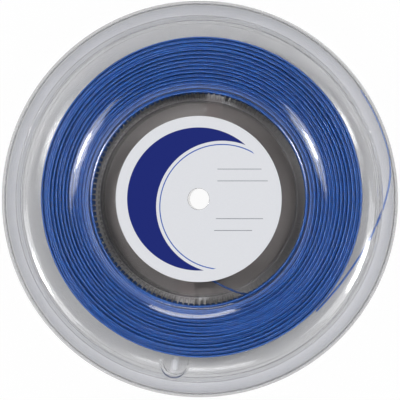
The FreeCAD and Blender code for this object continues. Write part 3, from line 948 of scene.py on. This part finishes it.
def line_length(curve):
    """The length of a curve's own line, read from it as a mesh without its bevel."""
    thickness, curve.bevel_depth = curve.bevel_depth, 0
    holder = bpy.data.objects.new("measured", curve)
    bpy.context.scene.collection.objects.link(holder)
    points = [v.co.copy() for v in bpy.data.meshes.new_from_object(holder).vertices]
    bpy.data.objects.remove(holder)
    curve.bevel_depth = thickness
    return sum((b - a).length for a, b in zip(points, points[1:]))


def loose_end(name, points, node):
    """One free end of the string, a round tube along a smooth NURBS curve."""
    curve = bpy.data.curves.new(name, "CURVE")
    curve.dimensions = "3D"
    curve.bevel_depth = STRING_DIAMETER / 2 * MM
    curve.bevel_resolution = 4
    curve.resolution_u = 12
    curve.use_fill_caps = True
    spline = curve.splines.new("NURBS")
    spline.points.add(len(points) - 1)
    for target, point in zip(spline.points, points):
        target.co = (*point, 1)
    spline.order_u = 3
    spline.use_endpoint_u = True
    curve.materials.append(string_material)
    piece = bpy.data.objects.new(name, curve)
    bpy.context.scene.collection.objects.link(piece)
    length = line_length(curve)
    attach(piece, "root")
    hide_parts(node)
    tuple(points[0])
    print(f"{name}: {length / MM:.1f} mm long")


loose_end("string_outer_end", TAIL_ROUTE, "string_tail")
loose_end("string_inner_end", START_ROUTE, "string_start")

# %% [markdown]
# ## The label
#
# A round self-adhesive label covers most of the hub face. It is white coated paper, cut with a thin
# edge that lies flat on the plastic. The print is left generic: a navy sickle along one side, a thin
# blue line that follows it, and four grey writing lines. Ink is only colour on this paper, so the
# print is worked out in the material from simple shapes: a sickle is one disc less another.

# %% Shapes for the print
INK_EDGE = 0.05
WRITING_HALF_WIDTH = 0.2


def disc(tree, place, across, up, radius):
    """1 inside a circle on the label, 0 outside, with a soft edge of a tenth of a millimetre."""
    away = add_node(tree, "ShaderNodeVectorMath", {
        0: place, 1: (across * MM, up * MM, 0),
    }, operation="DISTANCE")
    edge = add_node(tree, "ShaderNodeMapRange", {
        "Value": away.outputs["Value"],
        "From Min": (radius - INK_EDGE) * MM,
        "From Max": (radius + INK_EDGE) * MM,
        "To Min": 1.0,
        "To Max": 0.0,
    })
    return edge.outputs["Result"]


def writing_line(tree, axes, across, up, half_length):
    """1 in a thin straight bar on the label, 0 outside."""
    along = add_node(tree, "ShaderNodeMath", {
        0: axes.outputs["X"], 1: across * MM, 2: half_length * MM,
    }, operation="COMPARE")
    beside = add_node(tree, "ShaderNodeMath", {
        0: axes.outputs["Y"], 1: up * MM, 2: WRITING_HALF_WIDTH * MM,
    }, operation="COMPARE")
    both = add_node(tree, "ShaderNodeMath", {
        0: along.outputs["Value"], 1: beside.outputs["Value"],
    }, operation="MULTIPLY")
    return both.outputs["Value"]


def inked(tree, paper, ink, where):
    """The paper's colour with an ink printed over it."""
    mix = add_node(tree, "ShaderNodeMix", {0: where, 6: paper, 7: linear(ink)}, data_type="RGBA")
    return mix.outputs[2]


print(f"A writing line is {2 * WRITING_HALF_WIDTH:.1f} mm wide, and ink ends within {2 * INK_EDGE:.1f} mm")

# %% [markdown]
# The paper itself is nearly white, with a faint grain of fibres about half a millimetre long, and its
# coating is dull, so that it mirrors little.

# %% Printed label paper
FIBRE = 0.6
PAPER_TONES = ("e0e1e4", "e8e9ec")
SICKLE_INK = "0b1f74"
LINE_INK = "3f63b4"
WRITING_INK = "7d8088"
SICKLE_OUTSIDE = (0, 0, 45.5)
SICKLE_INSIDE = (15, -5, 42)
LINE_INSET = 2.0
LINE_WIDTH = 0.7
WRITING_LINES = [(26, 19.0, 14), (28, 11.5, 16), (26, -12.5, 15), (22, -20.0, 12)]


def paper_colour(tree, place):
    """The bare paper's colour."""
    fibre = add_node(tree, "ShaderNodeTexNoise", {
        "Vector": place, "Scale": 1 / (FIBRE * MM), "Detail": 4.0,
    })
    paper = add_node(tree, "ShaderNodeValToRGB", {"Fac": fibre.outputs["Fac"]})
    for stop, tone in zip(paper.color_ramp.elements, PAPER_TONES):
        stop.color = linear(tone)
    return paper.outputs["Color"]


def label_paper():
    """Dull white paper with the sickle, its line and the writing lines printed on it."""
    material = new_material("coated_label_paper")
    tree = material.node_tree
    place = add_node(tree, "ShaderNodeTexCoord").outputs["Object"]
    flat = add_node(tree, "ShaderNodeVectorMath", {0: place, 1: (1, 1, 0)}, operation="MULTIPLY")
    flat = flat.outputs["Vector"]
    axes = add_node(tree, "ShaderNodeSeparateXYZ", {"Vector": place})

    body = disc(tree, flat, *SICKLE_OUTSIDE)
    across, up, radius = SICKLE_INSIDE
    hollow, outer, inner = (
        disc(tree, flat, across, up, radius - less)
        for less in (0, LINE_INSET, LINE_INSET + LINE_WIDTH)
    )
    sickle = add_node(tree, "ShaderNodeMath", {0: body, 1: hollow}, operation="SUBTRACT", use_clamp=True)
    ring = add_node(tree, "ShaderNodeMath", {0: outer, 1: inner}, operation="SUBTRACT")
    line = add_node(tree, "ShaderNodeMath", {0: ring.outputs["Value"], 1: body}, operation="MULTIPLY")
    colour = inked(tree, paper_colour(tree, place), SICKLE_INK, sickle.outputs["Value"])
    colour = inked(tree, colour, LINE_INK, line.outputs["Value"])
    for row in WRITING_LINES:
        colour = inked(tree, colour, WRITING_INK, writing_line(tree, axes, *row))
    sheen = add_node(tree, "ShaderNodeBsdfPrincipled", {
        "Base Color": colour, "Roughness": 0.7, "IOR": 1.5, "Specular IOR Level": 0.25,
    })
    return show(material, sheen.outputs["BSDF"])


# %% The label, a thin disc with a hole
LABEL_RADIUS = 52.8
LABEL_HOLE = BORE_RADIUS + 0.2
LABEL_THICKNESS = 0.2
LABEL_STEPS = 240

label_top = HALF_WIDTH + LABEL_THICKNESS
label = turned_ring("round_label", [
    (LABEL_HOLE, HALF_WIDTH),
    (LABEL_RADIUS, HALF_WIDTH),
    (LABEL_RADIUS, label_top),
    (LABEL_HOLE, label_top),
], steps=LABEL_STEPS)
report(label)
finish_piece(label, label_paper(), "front_label")

# %% [markdown]
# ## Light, floor and backdrop
#
# Clear plastic shows its shape only by what it reflects. The photograph's highlights give the lamps
# away: two soft boxes, to the right and to the left, some twenty degrees off the axis, each with a
# bright middle and a dimmer edge, and a long strip below, further off the axis.

# %% Lamps
LAMP_DISTANCE = 1350.0
LAMPS = [
    # name, direction round the axis and angle off it in degrees, width and height in mm, watts
    ("soft_box_right", 28, 21, 115, 115, 1.3),
    ("soft_box_right_glow", 28, 21, 340, 340, 0.9),
    ("soft_box_left", 160, 22, 115, 115, 1.3),
    ("soft_box_left_glow", 160, 22, 340, 340, 0.9),
    ("strip_below", 264, 37, 620, 170, 1.5),
]

for name, turn, lean, width, height, watts in LAMPS:
    lamp = bpy.data.lights.new(name, "AREA")
    lamp.shape = "RECTANGLE"
    lamp.size = width * MM
    lamp.size_y = height * MM
    lamp.energy = watts
    turn, lean = math.radians(turn), math.radians(lean)
    towards = Vector((
        math.sin(lean) * math.cos(turn),
        math.sin(lean) * math.sin(turn),
        math.cos(lean),
    ))
    holder = bpy.data.objects.new(name, lamp)
    holder.location = towards * LAMP_DISTANCE * MM
    holder.rotation_euler = (-towards).to_track_quat("-Z", "Y").to_euler()
    holder.visible_camera = False
    bpy.context.scene.collection.objects.link(holder)
print(f"{len(LAMPS)} lamps give {sum(row[-1] for row in LAMPS):.1f} watts")

# %% [markdown]
# The floor is plain and pale. Outside the reel it looks white to the camera, also through plastic,
# while under the reel it only shows the light that gets there, so that the plastic looks grey over it,
# as in the photograph. So its material mixes a plain matt paint, which takes light and shadow, with the
# white that the background should have. Both follow the distance from the reel's axis: the white stays
# outside the reel's footprint and in its bore, and under the hub and near the rim the paint is darker, a
# painted shade.

# %% Floor
FLOOR_SIDE = 12000.0
HUB_EDGE = (HUB_RADIUS - 3, HUB_RADIUS + 5)
RIM_EDGE = (RIM_RADIUS - 0.5, RIM_RADIUS + 1.5)
BORE_EDGE = (BORE_RADIUS, BORE_RADIUS + 2)
SLOPE_EDGE = SLOPE_START - 3
# Painted shade: HUB_SHADE and RIM_SHADE paint the floor darker under the hub and near the rim.
HUB_SHADE = linear("c6c0bf")
FLANGE_SHADE = linear("f8f8f9")
RIM_SHADE = linear("bcbcbf")
WHITE = linear("ffffff")
BLACK = linear("000000")
WHITE_SHARE = 0.96


def seen_ray(tree):
    """1 for rays that look at a surface: from the camera, in a reflection or through plastic."""
    path = add_node(tree, "ShaderNodeLightPath")
    mirrored = add_node(tree, "ShaderNodeMath", {
        0: path.outputs["Is Camera Ray"], 1: path.outputs["Is Glossy Ray"],
    }, operation="MAXIMUM")
    seen = add_node(tree, "ShaderNodeMath", {
        0: mirrored.outputs["Value"], 1: path.outputs["Is Transmission Ray"],
    }, operation="MAXIMUM")
    return seen.outputs["Value"]


def ring_ramp(tree, distance, stops):
    """Colours by distance from the axis, in millimetres, blended evenly between the stops."""
    reach = stops[-1][0]
    share = add_node(tree, "ShaderNodeMath", {0: distance, 1: reach * MM}, operation="DIVIDE")
    ramp = add_node(tree, "ShaderNodeValToRGB", {"Fac": share.outputs["Value"]})
    for _ in stops[2:]:
        ramp.color_ramp.elements.new(0.5)
    for stop, (radius, colour) in zip(ramp.color_ramp.elements, stops):
        stop.position = radius / reach
        stop.color = colour
    return ramp.outputs["Color"]


def floor_paint():
    """Matt paint with a painted shade under the hub and near the rim, and white outside the reel and in
    its bore.
    """
    material = new_material("matt_white_floor")
    tree = material.node_tree
    place = add_node(tree, "ShaderNodeTexCoord")
    level = add_node(tree, "ShaderNodeVectorMath", {
        0: place.outputs["Object"], 1: (1, 1, 0),
    }, operation="MULTIPLY")
    far = add_node(tree, "ShaderNodeVectorMath", {0: level.outputs["Vector"]}, operation="LENGTH")
    distance = far.outputs["Value"]
    # Painted shade: the paint is darker under the hub and near the rim.
    paint = ring_ramp(tree, distance, [
        (HUB_EDGE[0], HUB_SHADE),
        (HUB_EDGE[1], FLANGE_SHADE),
        (SLOPE_EDGE, FLANGE_SHADE),
        (RIM_EDGE[0], RIM_SHADE),
        (RIM_EDGE[1], WHITE),
    ])
    background = ring_ramp(tree, distance, [
        (BORE_EDGE[0], WHITE),
        (BORE_EDGE[1], BLACK),
        (RIM_EDGE[0], BLACK),
        (RIM_EDGE[1], WHITE),
    ])
    seen = add_node(tree, "ShaderNodeMath", {0: background, 1: seen_ray(tree)}, operation="MULTIPLY")
    share = add_node(tree, "ShaderNodeMath", {
        0: seen.outputs["Value"], 1: WHITE_SHARE,
    }, operation="MULTIPLY")
    matt = add_node(tree, "ShaderNodeBsdfDiffuse", {"Color": paint})
    bright = add_node(tree, "ShaderNodeEmission", {"Color": WHITE, "Strength": 1.0})
    both = add_node(tree, "ShaderNodeMixShader", {
        "Fac": share.outputs["Value"], 1: matt.outputs["BSDF"], 2: bright.outputs["Emission"],
    })
    return show(material, both.outputs["Shader"])


bm = bmesh.new()
bmesh.ops.create_grid(bm, x_segments=1, y_segments=1, size=FLOOR_SIDE / 2 * MM)
floor_mesh = mesh_of(bm, "floor")
floor_mesh.materials.append(floor_paint())
floor = bpy.data.objects.new("floor", floor_mesh)
bpy.context.scene.collection.objects.link(floor)
print(f"The floor is {FLOOR_SIDE / 1000:.0f} m wide")

# %% [markdown]
# The room is dark straight above the reel, where the camera stands, and gets lighter to the sides. Flat
# plastic mirrors that dark part, so that the string below it keeps its depth, while the bends mirror
# the light walls.

# %% World
OVERHEAD = 0.04
WALLS = 1.35
WALLS_END = 0.50
OVERHEAD_STARTS = 0.86


def studio_world():
    """White to the camera, and for all other rays a room that is dark overhead."""
    world = bpy.data.worlds.new("studio")
    world.use_nodes = True
    tree = world.node_tree
    tree.nodes.clear()
    direction = add_node(tree, "ShaderNodeTexCoord")
    parts = add_node(tree, "ShaderNodeSeparateXYZ", {"Vector": direction.outputs["Generated"]})
    level = add_node(tree, "ShaderNodeMapRange", {
        "Value": parts.outputs["Z"],
        "From Min": WALLS_END,
        "From Max": OVERHEAD_STARTS,
        "To Min": WALLS,
        "To Max": OVERHEAD,
    }, interpolation_type="SMOOTHSTEP")
    soft = add_node(tree, "ShaderNodeBackground", {
        "Color": linear("fbfcff"), "Strength": level.outputs["Result"],
    })
    white = add_node(tree, "ShaderNodeBackground", {"Color": WHITE, "Strength": 1.0})
    path = add_node(tree, "ShaderNodeLightPath")
    both = add_node(tree, "ShaderNodeMixShader", {
        "Fac": path.outputs["Is Camera Ray"],
        1: soft.outputs["Background"],
        2: white.outputs["Background"],
    })
    add_node(tree, "ShaderNodeOutputWorld", {"Surface": both.outputs["Shader"]})
    return world


bpy.context.scene.world = studio_world()
print(f"The room's walls shine {WALLS / OVERHEAD:.0f} times as bright as what is overhead")
